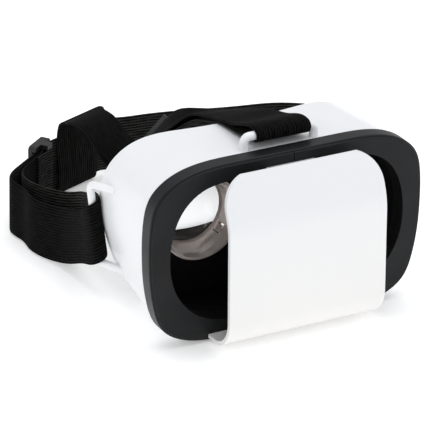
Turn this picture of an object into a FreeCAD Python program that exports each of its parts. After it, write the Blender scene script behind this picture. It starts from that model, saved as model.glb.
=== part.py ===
"""Phone-carrying VR headset: shell, bezel, spring clamp, optics and head harness, in millimetres.

X runs across the headset, Y from the phone towards the wearer, Z up. The origin is on the underside of
the bezel, on the middle plane. Depths are counted from the front face of the soft rim.
"""
import FreeCAD, Part
import math
import os

V = FreeCAD.Vector
OUT = "parts"

# driving dimensions
FACE_Y = -5.0            # row Y of the soft rim's front face
RIM_PAD = 1.2            # soft rim thickness
BEZEL_BACK = 9.0         # depth of the bezel's rear edge
SHELL_STEP = 1.0         # shell's inset from the bezel
WALL = 2.0               # shell wall
SHELL_END = 70.0         # depth at which the shell's rear section is drawn
BOARD = 33.0             # depth of the lens board's front
BOARD_T = 2.0
LENS_X = 30.6            # half the lens spacing
LENS_Z = 49.5
LENS_R = 18.0
BARREL_FRONT = 31.5
BARREL_R = 20.4          # inner radius at the mouth
BARREL_WALL = 1.4
LENS_SEAT = 44.0
RIM_DEPTH = 50.0         # depth of the shell's rear edge on the middle plane
RIM_RADIUS = 232.0       # plan radius of the rear edge
FLANGE_W = 9.0
FOAM_T = 5.0
FOAM_INSET = 4.0
NOSE_R = 17.0
NOSE_Z = 6.0
PLATE_HALF = 43.0
PLATE_T = 2.0
ARM_T = 1.4
WEB_W = 30.0             # webbing width
WEB_T = 1.2              # webbing thickness
LUG_ROD = 1.9            # radius of the side lugs' rod
RIM_JOINT = 2.0          # where the soft rim's ends meet
LOOP_ROD = 2.2           # radius of the top loop's rod
LOOP_Z = 97.3
LOOP_DEPTH = 14.0
LOOP_X = 1.1             # the loop's middle
LUG_DEPTH = 60.0
EAR_T = 2.0
UPPER_ARM_HALF = 13.0
UPPER_ARM_Z = 84.8
LOWER_ARM_X = 22.0
LOWER_ARM_HALF = 7.0
LOWER_ARM_Z = 4.5
SLOT_GAP = 0.3
UPPER_POST = 24.0        # depths of the pins on the arms, and of the fixed pins behind them
LOWER_POST = 26.0
UPPER_ANCHOR = 37.8
LOWER_ANCHOR = 39.6
ARM_TAIL = 2.0
SPRING_R = 1.3
CORNER_SCREWS = [(64.6, 75.6), (63.0, 19.6)]     # half width, height
BOARD_SCREW_X = (-66.4, 66.4)
BOARD_SCREW_Z = (38.0, 58.0)
GLIDE_HALF = 8.2         # half length of a tri-glide along the webbing
GLIDE_REACH = 18.1       # half width
CENTRE_BAR = 1.3
BAR_DROP = 3.7           # centre bar's axis below the webbing's middle plane
STUB_END = 12.0          # length of the sewn end behind a centre bar
LEFT_ADJUSTER = 29.0     # from the start of the left run to the adjuster's middle
RIGHT_ADJUSTER = 19.8

# half outlines, top to bottom: half width, height
BEZEL_SIDE = [(30, 92), (50, 90.6), (63.2, 85.8), (71.2, 78.2), (74.5, 66), (75, 52), (74.2, 36),
              (71.9, 22.5), (66.8, 10.4), (54, 2.4), (36, 0)]
WINDOW_SIDE = [(30, 83.3), (47.5, 80.6), (57.2, 72.8), (62.4, 62), (64.3, 49), (62.6, 34.5),
               (56, 22), (46, 13.8), (30, 10.2)]
SHELL_REAR = [(30, 88.0), (46, 87.1), (56, 83.4), (64, 76.2), (69.2, 66.5), (70.6, 56), (69.2, 45),
              (65.9, 33), (61, 20), (53, 8.4), (42, 2.4), (28, 0)]


def at(depth):
    """Row Y of a depth behind the soft rim's face."""
    return FACE_Y + depth


def save(name, shape):
    """Write one node, and say how much material it holds."""
    if not shape.isValid():
        print("NOT VALID", name)
    shape.exportStep(os.path.join(OUT, name + ".step"))
    print("%-24s solids %2d  volume %9.1f" % (name, len(shape.Solids), shape.Volume))


def box(x0, x1, y0, y1, z0, z1):
    return Part.makeBox(x1 - x0, y1 - y0, z1 - z0, V(x0, y0, z0))


def rod(radius, start, end):
    axis = end - start
    return Part.makeCylinder(radius, axis.Length, start, axis)


def fuse_all(shapes):
    whole = shapes[0]
    for shape in shapes[1:]:
        whole = whole.fuse(shape)
    return whole.removeSplitter()


def mirror_x(shape):
    return shape.mirror(V(0, 0, 0), V(1, 0, 0))


def inset(side, amount, keep_floor=False):
    """Half outline moved inwards by amount; keep_floor leaves its lowest point's height alone."""
    moved = []
    last = len(side) - 1
    for i, (x, z) in enumerate(side):
        before = side[max(i - 1, 0)]
        after = side[min(i + 1, last)]
        run, fall = after[0] - before[0], after[1] - before[1]
        if i == 0:
            run, fall = 1.0, 0.0
        if i == last:
            run, fall = -1.0, 0.0
        size = math.hypot(run, fall)
        moved.append((x + amount * fall / size, z - amount * run / size))
    if keep_floor:
        moved[last] = (side[last][0], side[last][1])
    return moved


def side_curve(points, start, end):
    """Smooth curve through points, leaving along start and arriving along end."""
    reach = [0.0]
    for a, b in zip(points, points[1:]):
        reach.append(reach[-1] + (b - a).Length)
    curve = Part.BSplineCurve()
    curve.interpolate(Points=points, Parameters=reach, InitialTangent=start, FinalTangent=end, Scale=False)
    return curve.toShape()


def outline(side, y):
    """Closed wire from a half outline: flat top and bottom, and a smooth curve down each side."""
    right = side_curve([V(x, y, z) for x, z in side], V(1, 0, 0), V(-1, 0, 0))
    left = side_curve([V(-x, y, z) for x, z in reversed(side)], V(-1, 0, 0), V(1, 0, 0))
    top = Part.makeLine(V(-side[0][0], y, side[0][1]), V(side[0][0], y, side[0][1]))
    bottom = Part.makeLine(V(side[-1][0], y, side[-1][1]), V(-side[-1][0], y, side[-1][1]))
    return Part.Wire([top, right, bottom, left])


def prism(side, depth0, depth1):
    """Solid with a half outline's section between two depths."""
    return Part.Face(outline(side, at(depth0))).extrude(V(0, depth1 - depth0, 0))


def ring(outer, inner, depth0, depth1):
    return prism(outer, depth0, depth1).cut(prism(inner, depth0 - 1, depth1 + 1))


def shell_form(amount):
    """The shell's tapering form, inset by amount."""
    front = inset(BEZEL_SIDE, SHELL_STEP, True)
    return Part.makeLoft([outline(inset(front, amount), at(BEZEL_BACK)),
                          outline(inset(SHELL_REAR, amount), at(SHELL_END))], True, True)


def ahead_of_rim(shift):
    """Everything in front of the shell's curved rear edge, moved back by shift."""
    half = 95.0
    sag = RIM_RADIUS - math.sqrt(RIM_RADIUS ** 2 - half ** 2)
    edge_y, mid_y = at(RIM_DEPTH + sag + shift), at(RIM_DEPTH + shift)
    arc = Part.Arc(V(half, edge_y, -5), V(0, mid_y, -5), V(-half, edge_y, -5)).toShape()
    front_y = at(0)
    walls = Part.makePolygon([V(-half, edge_y, -5), V(-half, front_y, -5), V(half, front_y, -5),
                              V(half, edge_y, -5)])
    return Part.Face(Part.Wire([arc] + walls.Edges)).extrude(V(0, 0, 110))


def nose(radius):
    """Arch over the wearer's nose, open to the back and through the floor."""
    tunnel = rod(radius, V(0, at(36), NOSE_Z), V(0, at(80), NOSE_Z))
    middle = at(RIM_DEPTH + 3)
    plan = Part.makeCylinder(radius, 60, V(0, middle, -10)).fuse(
        box(-radius, radius, middle, at(85), -10, 50))
    drop = box(-radius, radius, at(30), at(80), -6, NOSE_Z)
    return tunnel.fuse(drop).common(plan)


def wall_x(depth, z):
    """Half width of the shell's outside at a depth and height."""
    share = (depth - BEZEL_BACK) / (SHELL_END - BEZEL_BACK)
    widths = []
    for side in (inset(BEZEL_SIDE, SHELL_STEP, True), SHELL_REAR):
        for (xa, za), (xb, zb) in zip(side, side[1:]):
            if za >= z >= zb:
                widths.append(xa + (xb - xa) * (za - z) / (za - zb))
                break
    return widths[0] * (1 - share) + widths[1] * share


def rounded_wire(points, radii):
    """Straight runs joined by tangent arcs; radii has one value for each inner point."""
    edges = []
    start = points[0]
    for i, radius in enumerate(radii):
        before, corner, after = points[i], points[i + 1], points[i + 2]
        back = (before - corner).normalize()
        ahead = (after - corner).normalize()
        half = back.getAngle(ahead) / 2
        tangent = radius / math.tan(half)
        bisector = (back + ahead).normalize()
        first = corner + back * tangent
        last = corner + ahead * tangent
        middle = corner + bisector * (radius / math.sin(half) - radius)
        edges.append(Part.makeLine(start, first))
        edges.append(Part.Arc(first, middle, last).toShape())
        start = last
    edges.append(Part.makeLine(start, points[-1]))
    return Part.Wire(edges)


def bent_rod(points, bend, radius):
    """Round rod along a path with rounded corners."""
    path = rounded_wire(points, [bend] * (len(points) - 2))
    circle = Part.makeCircle(radius, points[0], points[1] - points[0])
    return path.makePipeShell([Part.Wire([circle])], True, True)


# side lug: bar beside the shell's rear edge, running down and inwards
LUG_TOP_Z, LUG_LOW_Z = 66.0, 22.4
LUG_TOP_X, LUG_LOW_X = 77.0, 70.8
LUG_BEND = 3.2


def lug_bar(z):
    """Half width of the lug bar's axis at a height."""
    return LUG_LOW_X + (LUG_TOP_X - LUG_LOW_X) * (z - LUG_LOW_Z) / (LUG_TOP_Z - LUG_LOW_Z)


def side_lug():
    root, bury = at(LUG_DEPTH - 14), 1.2
    ends = [(wall_x(LUG_DEPTH - 14, z) - bury, z) for z in (LUG_TOP_Z, LUG_LOW_Z)]
    points = [V(ends[0][0], root, LUG_TOP_Z), V(LUG_TOP_X, at(LUG_DEPTH), LUG_TOP_Z),
              V(LUG_LOW_X, at(LUG_DEPTH), LUG_LOW_Z), V(ends[1][0], root, LUG_LOW_Z)]
    return bent_rod(points, LUG_BEND, LUG_ROD)


def top_loop():
    half, foot = 19.2, 89.4
    left, right = LOOP_X - half, LOOP_X + half
    points = [V(left, at(LOOP_DEPTH), foot), V(left, at(LOOP_DEPTH), LOOP_Z),
              V(right, at(LOOP_DEPTH), LOOP_Z), V(right, at(LOOP_DEPTH), foot)]
    return bent_rod(points, 3.0, LOOP_ROD)


def four(make):
    """The same thing at the four corner screws, as a list."""
    made = []
    for x, z in CORNER_SCREWS:
        made.append(make(x, z))
        made.append(make(-x, z))
    return made


def main_shell():
    hollow = shell_form(WALL)
    form = shell_form(0)
    body = form.cut(hollow).common(ahead_of_rim(0))
    lip = form.cut(shell_form(FLANGE_W)).common(ahead_of_rim(0)).cut(ahead_of_rim(-1.8))
    arch = nose(NOSE_R + FLANGE_W).common(form).common(ahead_of_rim(0)).cut(ahead_of_rim(-1.8))
    body = body.fuse(lip).fuse(arch).cut(nose(NOSE_R))
    ear_y = at(BEZEL_BACK + EAR_T)
    ears = [e.common(form) for e in four(
        lambda x, z: rod(4.2, V(x, ear_y, z), V(x, ear_y + EAR_T, z)).fuse(
            box(min(x, x * 1.15), max(x, x * 1.15), ear_y, ear_y + EAR_T, z - 3.5, z + 3.5)))]
    posts = [rod(2.4, V(s * LOWER_ARM_X, at(LOWER_ANCHOR), 1), V(s * LOWER_ARM_X, at(LOWER_ANCHOR), 5.9))
             for s in (-1, 1)]
    lug = side_lug()
    body = fuse_all([body] + ears + posts + [lug, mirror_x(lug), top_loop().cut(hollow)])
    holes = four(lambda x, z: rod(1.25, V(x, ear_y - 1, z), V(x, ear_y + EAR_T + 1, z)))
    pins = [post(s * LOWER_ARM_X, LOWER_ANCHOR, 3.6, 9) for s in (-1, 1)]
    for hole in holes + pins:
        body = body.cut(hole)
    return body


def arm_slots():
    slots = [box(-UPPER_ARM_HALF - SLOT_GAP, UPPER_ARM_HALF + SLOT_GAP, at(-1), at(BEZEL_BACK + 1),
                 UPPER_ARM_Z - SLOT_GAP, UPPER_ARM_Z + ARM_T + SLOT_GAP)]
    for side in (-1, 1):
        middle = side * LOWER_ARM_X
        slots.append(box(middle - LOWER_ARM_HALF - SLOT_GAP, middle + LOWER_ARM_HALF + SLOT_GAP,
                         at(-1), at(BEZEL_BACK + 1), LOWER_ARM_Z - SLOT_GAP,
                         LOWER_ARM_Z + ARM_T + SLOT_GAP))
    return slots


def soft_prism(side, depth0, depth1, radius, steps=3):
    """Prism whose front edge is rounded, in a few facets."""
    sections = []
    for i in range(steps + 1):
        angle = math.radians(90.0 * i / steps)
        sections.append(outline(inset(side, radius * (1 - math.sin(angle))),
                                at(depth0 + radius * (1 - math.cos(angle)))))
    sections.append(outline(side, at(depth1)))
    return Part.makeLoft(sections, True, True)


def bezel_frame():
    """Hollow-backed frame: a front web, an outer wall and a wall around the window."""
    front, web = RIM_PAD, 2.2
    block = soft_prism(BEZEL_SIDE, front, BEZEL_BACK, 0.7)
    frame = block.cut(prism(WINDOW_SIDE, 0, BEZEL_BACK + 1))
    pocket = ring(inset(BEZEL_SIDE, 2.4), inset(WINDOW_SIDE, -1.6), front + web, BEZEL_BACK + 1)
    frame = frame.cut(pocket)
    bosses = four(lambda x, z: rod(2.9, V(x, at(front + 1), z), V(x, at(BEZEL_BACK), z)))
    frame = fuse_all([frame] + bosses)
    for hole in four(lambda x, z: rod(0.9, V(x, at(front + 2.4), z), V(x, at(BEZEL_BACK + 1), z))):
        frame = frame.cut(hole)
    for slot in arm_slots():
        frame = frame.cut(slot)
    return frame


def soft_rim():
    """One strip round the bezel's face, its ends butted together near the top centre."""
    block = soft_prism(inset(BEZEL_SIDE, 0.8), 0, RIM_PAD, 0.6)
    rim = block.cut(prism(WINDOW_SIDE, -1, RIM_PAD + 1))
    rim = rim.cut(box(RIM_JOINT - 0.2, RIM_JOINT + 0.2, at(-1), at(RIM_PAD + 1), 80, 95))
    for slot in arm_slots():
        rim = rim.cut(slot)
    return rim


def light_box():
    """Black walls from the window back to the lens board, with ears under the corner screws."""
    walls = ring(inset(WINDOW_SIDE, -1.2), WINDOW_SIDE, BEZEL_BACK, BOARD)
    ears = four(lambda x, z: rod(3.6, V(x, at(BEZEL_BACK), z), V(x, at(BEZEL_BACK + EAR_T), z)))
    posts = []
    for x in BOARD_SCREW_X:
        for z in BOARD_SCREW_Z:
            posts.append(rod(2.3, V(x, at(BOARD - 8), z), V(x, at(BOARD), z)))
    arms = four(lambda x, z: web_to_box(x, z))
    body = fuse_all([walls] + ears + posts + arms).cut(prism(WINDOW_SIDE, BEZEL_BACK - 1, BOARD + 1))
    for hole in four(lambda x, z: rod(1.25, V(x, at(0), z), V(x, at(20), z))):
        body = body.cut(hole)
    for x in BOARD_SCREW_X:
        for z in BOARD_SCREW_Z:
            body = body.cut(rod(0.8, V(x, at(BOARD - 6), z), V(x, at(BOARD + 1), z)))
    return body


def web_to_box(x, z):
    """Short web that ties an ear to the box wall."""
    side = 1 if x > 0 else -1
    inner = x - side * 9
    low, high = (z - 8, z) if z > LENS_Z else (z, z + 8)
    return box(min(x, inner), max(x, inner), at(BEZEL_BACK), at(BEZEL_BACK + EAR_T), low, high)


def lens_board():
    """Partition across the shell, with a hole for each barrel."""
    board = shell_form(WALL + 0.4).common(box(-90, 90, at(BOARD), at(BOARD + BOARD_T), -5, 100))
    for sign in (-1, 1):
        centre = V(sign * LENS_X, at(BOARD - 1), LENS_Z)
        board = board.cut(rod(BARREL_R + BARREL_WALL, centre, centre + V(0, BOARD_T + 2, 0)))
    for x in BOARD_SCREW_X:
        for z in BOARD_SCREW_Z:
            board = board.cut(rod(0.95, V(x, at(BOARD - 1), z), V(x, at(BOARD + 4), z)))
    for x, low, high in ((0, 84.0, 95), (-LOWER_ARM_X, -5, 9.4), (LOWER_ARM_X, -5, 9.4)):
        board = board.cut(box(x - 2.4, x + 2.4, at(BOARD - 1), at(BOARD + BOARD_T + 1), low, high))
    return board


def turned(profile, centre):
    """Solid turned about a Y axis through centre; the profile holds radius and depth."""
    points = [V(centre.x + r, at(d), centre.z) for r, d in profile]
    face = Part.Face(Part.makePolygon(points + [points[0]]))
    return face.revolve(V(centre.x, 0, centre.z), V(0, 1, 0), 360)


def lens_centre(sign):
    return V(sign * LENS_X, 0, LENS_Z)


def lens_barrel(sign):
    """Tapering tube with a flange behind the board, a lens seat and three slit snap tabs."""
    w = BARREL_WALL
    seat = LENS_R + 0.05
    back = BOARD + BOARD_T
    profile = [(BARREL_R, BARREL_FRONT), (BARREL_R + w - 0.1, BARREL_FRONT), (BARREL_R + w - 0.1, back),
               (BARREL_R + 4.4, back), (BARREL_R + 4.4, back + 1.6), (BARREL_R + 0.6, back + 1.6),
               (seat + w, LENS_SEAT + 2.6), (seat, LENS_SEAT + 2.6),
               (seat, LENS_SEAT), (LENS_R - 1.0, LENS_SEAT), (LENS_R - 0.4, LENS_SEAT - 1.4)]
    body = turned(profile, lens_centre(sign))
    tabs = []
    for angle in (-38, 82, 202):
        tab = box(LENS_R - 0.2, LENS_R + 2.2, at(LENS_SEAT - 6.4), at(LENS_SEAT - 2.6), -1.9, 1.9)
        tab.rotate(V(0, 0, 0), V(0, 1, 0), -angle)
        tab.translate(lens_centre(sign))
        tabs.append(tab)
    whole = fuse_all([body] + tabs)
    for angle in (-38, 82, 202):
        for z0, z1 in ((-2.7, -1.9), (1.9, 2.7)):
            slit = box(LENS_R - 0.6, LENS_R + 4, at(LENS_SEAT - 6.4), at(LENS_SEAT - 1.8), z0, z1)
            slit.rotate(V(0, 0, 0), V(0, 1, 0), -angle)
            slit.translate(lens_centre(sign))
            whole = whole.cut(slit)
    return whole


def lens(sign):
    """Clear biconvex lens with a flat edge band."""
    edge, bulge_front, bulge_back = 2.4, 1.6, 3.6
    front, back = LENS_SEAT, LENS_SEAT + edge
    radius = LENS_R
    x, z = lens_centre(sign).x, lens_centre(sign).z
    clear = LENS_R - 1.0
    apex_front, apex_back = V(x, at(front - bulge_front), z), V(x, at(back + bulge_back), z)

    def bulge(apex, rim_depth, deep):
        return Part.Arc(apex, V(x + clear * 0.52, at(rim_depth + deep * 0.74), z),
                        V(x + clear, at(rim_depth), z)).toShape()

    rim = Part.makePolygon([V(x + clear, at(front), z), V(x + radius, at(front), z),
                            V(x + radius, at(back), z), V(x + clear, at(back), z)])
    axis = Part.makeLine(apex_back, apex_front)
    wire = Part.Wire([bulge(apex_front, front, -bulge_front)] + rim.Edges +
                     [bulge(apex_back, back, bulge_back), axis])
    return Part.Face(wire).revolve(V(x, 0, z), V(0, 1, 0), 360)


def lens_ring(sign):
    """Ring behind the lens, clipped over the barrel."""
    seat = LENS_R + 0.05
    rear = LENS_SEAT + 2.6
    profile = [(LENS_R - 1.0, rear), (seat + 2.2, rear), (seat + 2.2, rear + 1.4), (seat + 1.2, rear + 2.2),
               (LENS_R + 0.2, rear + 2.2)]
    return turned(profile, lens_centre(sign))


def septum():
    return box(-0.8, 0.8, at(5), at(BOARD), 12.5, 81)


def face_cushion():
    """Foam strip on the rear flange, carried over the nose arch."""
    strip = shell_form(FOAM_INSET).cut(shell_form(FLANGE_W + 1))
    arch = nose(NOSE_R + FLANGE_W).common(shell_form(FOAM_INSET))
    whole = strip.fuse(arch).cut(nose(NOSE_R + 1))
    return whole.common(ahead_of_rim(FOAM_T)).cut(ahead_of_rim(0)).removeSplitter()


def clamp_profile(offset):
    """Corner points of the plate's side view, moved into the plate by offset."""
    corner, bend, top = (-21.7, 2.3), (-19.5, 67.0), (-9.2, 90.6)    # depth, height on the outer face
    panel = math.atan2(bend[1] - corner[1], bend[0] - corner[0])
    lean = math.atan2(top[1] - bend[1], top[0] - bend[0])
    floor_z = corner[1] + offset
    slip = offset / math.sin(panel) + offset / math.tan(panel)
    middle = (panel + lean) / 2
    inwards = V(0, math.sin(middle), -math.cos(middle)) * (offset / math.cos((panel - lean) / 2))
    inwards_top = V(0, math.sin(lean), -math.cos(lean)) * offset
    return [V(0, at(-0.4), floor_z), V(0, at(corner[0]) + slip, floor_z),
            V(0, at(bend[0]), bend[1]) + inwards, V(0, at(top[0]), top[1]) + inwards_top]


PLATE_CORNER, PLATE_BEND = 15.5, 34.0    # outer radii of the plate's two bends


def plate_solid(outer, inner, half):
    """Bent sheet between two offsets of the plate's profile."""
    out_wire = rounded_wire(clamp_profile(outer), [PLATE_CORNER - outer, PLATE_BEND - outer])
    in_wire = rounded_wire(clamp_profile(inner), [PLATE_CORNER - inner, PLATE_BEND - inner])
    ends = [Part.makeLine(out_wire.Vertexes[k].Point, in_wire.Vertexes[k].Point) for k in (0, -1)]
    face = Part.Face(Part.Wire(Part.__sortEdges__(out_wire.Edges + in_wire.Edges + ends)))
    face.translate(V(-half, 0, 0))
    return face.extrude(V(2 * half, 0, 0))


def rounded_front(half, low, high, radius):
    """Prism along Y with rounded upper corners."""
    y = at(-40)
    points = [V(-half, y, low), V(-half, y, high), V(half, y, high), V(half, y, low)]
    upper = rounded_wire(points, [radius, radius])
    base = Part.makeLine(upper.Vertexes[-1].Point, upper.Vertexes[0].Point)
    return Part.Face(Part.Wire(upper.Edges + [base])).extrude(V(0, 50, 0))


def clamp_plate():
    plate = plate_solid(0.0, PLATE_T, PLATE_HALF).common(rounded_front(PLATE_HALF, 0, 90.5, 16.0))
    for hole in arm_screw_places():
        plate = plate.cut(rod(0.8, hole + V(0, 0, -1.3), hole + V(0, 0, 2)))
    return plate


def clamp_pad():
    """Foam block on the plate's inner face."""
    pad = plate_solid(PLATE_T, PLATE_T + 6.0, 34.0)
    return pad.common(box(-40, 40, at(-25), at(-2), 15, 60))


def arm_screw_places():
    """Points on the flange's upper face under the lower arms' screws."""
    return [V(s * LOWER_ARM_X + dx, at(-3.2), 4.3) for s in (-1, 1) for dx in (-4, 4)]


def post(x, depth, low, high):
    return rod(0.8, V(x, at(depth), low), V(x, at(depth), high))


def upper_arm():
    half = UPPER_ARM_HALF
    arm = box(-half, half, at(-12), at(UPPER_POST + ARM_TAIL), UPPER_ARM_Z, UPPER_ARM_Z + ARM_T)
    side = Part.makePolygon([V(-half, at(-14), UPPER_ARM_Z), V(-half, at(-4), UPPER_ARM_Z),
                             V(-half, at(-14), 76), V(-half, at(-14), UPPER_ARM_Z)])
    arm = arm.fuse(Part.Face(side).extrude(V(2 * half, 0, 0)))
    arm = arm.cut(plate_solid(-8.0, PLATE_T, 50)).removeSplitter()
    return arm.cut(post(0, UPPER_POST, UPPER_ARM_Z - 1, UPPER_ARM_Z + 3))


def lower_arm(sign):
    middle = sign * LOWER_ARM_X
    arm = box(middle - LOWER_ARM_HALF, middle + LOWER_ARM_HALF, at(-5.6), at(LOWER_POST + ARM_TAIL),
              4.3, LOWER_ARM_Z + ARM_T)
    arm = arm.cut(box(-50, 50, at(-0.5), at(40), 0, LOWER_ARM_Z))
    for hole in arm_screw_places():
        arm = arm.cut(rod(0.8, hole + V(0, 0, -1), hole + V(0, 0, 3)))
        arm = arm.cut(Part.makeCone(0.8, 1.5, 0.7, hole + V(0, 0, LOWER_ARM_Z + ARM_T - 5.0)))
    return arm.cut(post(middle, LOWER_POST, 0, 9))


def arm_screws():
    """Countersunk screws through the lower arms into the flange."""
    made = []
    for hole in arm_screw_places():
        top = LOWER_ARM_Z + ARM_T - 4.3
        made.append(rod(0.8, hole + V(0, 0, -1.2), hole + V(0, 0, top - 0.7)).fuse(
            Part.makeCone(0.8, 1.5, 0.7, hole + V(0, 0, top - 0.7))).removeSplitter())
    return Part.makeCompound(made)


def arm_pins():
    """Pins at the arms' tails that the springs hook on."""
    made = [post(0, UPPER_POST, UPPER_ARM_Z, 87.6)]
    for sign in (-1, 1):
        made.append(post(sign * LOWER_ARM_X, LOWER_POST, LOWER_ARM_Z, 8.4))
    return Part.makeCompound(made)


def anchor_pins():
    """Fixed pins that hold the springs' rear ends."""
    return Part.makeCompound([post(sign * LOWER_ARM_X, LOWER_ANCHOR, 3.6, 8.4) for sign in (-1, 1)])


def upper_anchor():
    """Bracket behind the lens board that holds the upper spring's rear end."""
    back = BOARD + BOARD_T
    foot = box(-6, 6, at(back), at(back + 1.6), 76.0, 83.8)
    shelf = box(-6, 6, at(back), at(back + 5), 82.4, 83.8)
    return fuse_all([foot, shelf, post(0, UPPER_ANCHOR, 83.4, 87.3)])


def guide_rail(inner_x, low, roof, high, depth0, depth1, lip):
    """L-section rail on one side of an arm; its lip holds the arm down."""
    leg = box(inner_x, inner_x + 1.6, at(depth0), at(depth1), low, high)
    cap = box(inner_x - lip, inner_x + 1.6, at(depth0), at(depth1), roof, high)
    return leg.fuse(cap).removeSplitter()


def upper_guides():
    inner = UPPER_ARM_HALF + SLOT_GAP
    right = guide_rail(inner, 84.5, UPPER_ARM_Z + ARM_T + SLOT_GAP, 88.0, BEZEL_BACK + 0.5, 18.0, 3.0)
    return Part.makeCompound([right, mirror_x(right)])


def lower_guide(sign):
    """Channel on the shell's floor: base, walls and lips."""
    half, base, roof, high = LOWER_ARM_HALF + SLOT_GAP, 4.2, 6.2, 7.6
    d0, d1 = BEZEL_BACK + 0.5, 24.0
    floor = box(-half - 1.5, half + 1.5, at(d0), at(d1), WALL, base)
    right = guide_rail(half, WALL, roof, high, d0, d1, 3.6)
    channel = fuse_all([floor, right, mirror_x(right)])
    channel.translate(V(sign * LOWER_ARM_X, 0, 0))
    return channel


def spring(x, z, depth0, depth1):
    """Outer form of a tension spring between its two end hooks."""
    start, end = V(x, at(depth0), z), V(x, at(depth1), z)
    return rod(SPRING_R, start, end).cut(rod(SPRING_R - 0.4, start, end))


def corner_screws():
    """Screws through shell and box ears into the bezel's bosses."""
    seat = BEZEL_BACK + 2 * EAR_T
    return Part.makeCompound(four(lambda x, z: rod(0.9, V(x, at(5.0), z), V(x, at(seat), z)).fuse(
        rod(2.0, V(x, at(seat), z), V(x, at(seat + 1.4), z))).removeSplitter()))


def board_screws():
    made = []
    back = BOARD + BOARD_T
    for x in BOARD_SCREW_X:
        for z in BOARD_SCREW_Z:
            made.append(rod(0.8, V(x, at(BOARD - 5.5), z), V(x, at(back), z)).fuse(
                rod(1.7, V(x, at(back), z), V(x, at(back + 1.2), z))).removeSplitter())
    return Part.makeCompound(made)


# ---- harness ----

def edge_pair(places):
    """Lower and upper edge points of a standing band; each place is x, depth, z, lean."""
    pairs = []
    for x, depth, z, lean in places:
        rise = math.sqrt(WEB_W ** 2 - lean ** 2)
        pairs.append((V(x, at(depth), z), V(x + lean, at(depth), z + rise)))
    return pairs


def smooth(pairs, per_mm=0.22):
    """Edge pairs along smooth curves through the given ones."""
    reach = [0.0]
    for (a0, a1), (b0, b1) in zip(pairs, pairs[1:]):
        reach.append(reach[-1] + ((b0 + b1) / 2 - (a0 + a1) / 2).Length)
    curves = []
    for k in (0, 1):
        curve = Part.BSplineCurve()
        curve.interpolate(Points=[p[k] for p in pairs], Parameters=reach)
        curves.append(curve)
    count = max(2, int(reach[-1] * per_mm))
    return [tuple(c.value(reach[-1] * i / count) for c in curves) for i in range(count + 1)]


def wrap(low, high, radius, first, sweep, steps=6):
    """Edge pairs round a bar whose axis passes low and high, from direction first through sweep degrees."""
    axis = (high - low).normalize()
    out = (first - axis * first.dot(axis)).normalize() * radius
    pairs = []
    for i in range(steps + 1):
        turned_out = FreeCAD.Rotation(axis, sweep * i / steps).multVec(out)
        pairs.append((low + turned_out, high + turned_out))
    return pairs


def band(pairs, thickness=WEB_T):
    """Closed solid of webbing through edge pairs."""
    sections = []
    for i, (low, high) in enumerate(pairs):
        before = pairs[max(i - 1, 0)]
        after = pairs[min(i + 1, len(pairs) - 1)]
        along = (after[0] + after[1] - before[0] - before[1]).normalize()
        middle = (low + high) / 2
        across = (high - low).normalize()
        across = (across - along * across.dot(along)).normalize()
        out = along.cross(across) * (thickness / 2)
        across = across * (WEB_W / 2)
        near, far = middle - across, middle + across
        corners = [near - out, far - out, far + out, near + out]
        sections.append(Part.makePolygon(corners + [corners[0]]))
    return Part.makeLoft(sections, True, True)


def flat_pairs(places):
    """Edge pairs from centre points and width directions."""
    pairs = []
    for (x, depth, z), across in places:
        reach = V(*across).normalize() * (WEB_W / 2)
        centre = V(x, at(depth), z)
        pairs.append((centre - reach, centre + reach))
    return pairs


BAR_GAP = 0.2
LUG_WRAP = LUG_ROD + BAR_GAP + WEB_T / 2
LOOP_WRAP = LOOP_ROD + BAR_GAP + WEB_T / 2
STRAP_LOW, STRAP_HIGH = 24.9, 54.3      # where the webbing sits on a lug's bar


def lug_ends(side):
    """Lowest and highest points of the webbing's middle line on a lug's bar."""
    return (V(side * lug_bar(STRAP_LOW), at(LUG_DEPTH), STRAP_LOW),
            V(side * lug_bar(STRAP_HIGH), at(LUG_DEPTH), STRAP_HIGH))


LIFT = 3.0               # height of the webbing's lower edge where an adjuster carries it

# straight runs under the adjusters, and behind the sewn loop: plan points as x, depth
LEFT_RUN = ((-71.0, 156.0), (-40.4, 179.0))
LOOP_RUN = ((-34.5, 182.4), (-4.7, 194.2))
RIGHT_RUN = ((113.4, 147.0), (108.2, 109.4))
LOOP_LIFT = 2.4

# places of the standing webbing: x, depth, height of the lower edge, lean of the upper edge
LEFT_INNER = [(-66.0, 155.1, 2.9, 0), (-68.3, 152.4, 2.9, 0), (-70.1, 147, 2.3, 0), (-68, 139, 1.4, 0),
              (-64, 130, 1, 0), (-60.3, 118, 2, -0.8), (-60, 105, 7, -2), (-62.3, 90, 15, -3.5),
              (-65, 75, 21.5, -5)]
LEFT_OUTER = [(-71.4, 75, 16.4, -4.4), (-69.5, 90, 9.4, -2.8), (-69.6, 105, 3.4, -1.0),
              (-73.6, 118, 0.8, 0), (-75.6, 129, 0.3, 0), (-74.6, 139, 0.3, 0), (-76, 148.5, 0.6, 0),
              (-74.6, 153.6, 1.4, 0)]
REAR = [(8, 195.4, 0.8, 0), (22, 194.2, 0.3, 0), (36, 191.6, 0.3, 0), (50, 188, 0.3, 0),
        (64, 184, 0.3, 0), (78, 180.8, 0.3, 0), (90, 178, 0.3, 0), (99, 174, 0.3, 0), (106.5, 168, 0.6, 0),
        (111.4, 159, 1.6, 0)]
RIGHT_OUTER = [(106.2, 102, 3.6, 0), (100.5, 92.5, 6, 1.2), (91.5, 82, 11.5, 3), (81.5, 70.5, 18.5, 4.6)]
RIGHT_INNER = [(73.6, 70.5, 20.5, 4.6), (84, 84.5, 13, 3), (94, 95.5, 6.5, 1.4), (102.6, 103.2, 3.2, 0)]


def run_pairs(run, lift, steps=3):
    (x0, d0), (x1, d1) = run
    return edge_pair([(x0 + (x1 - x0) * i / steps, d0 + (d1 - d0) * i / steps, lift, 0)
                      for i in range(steps + 1)])


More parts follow.
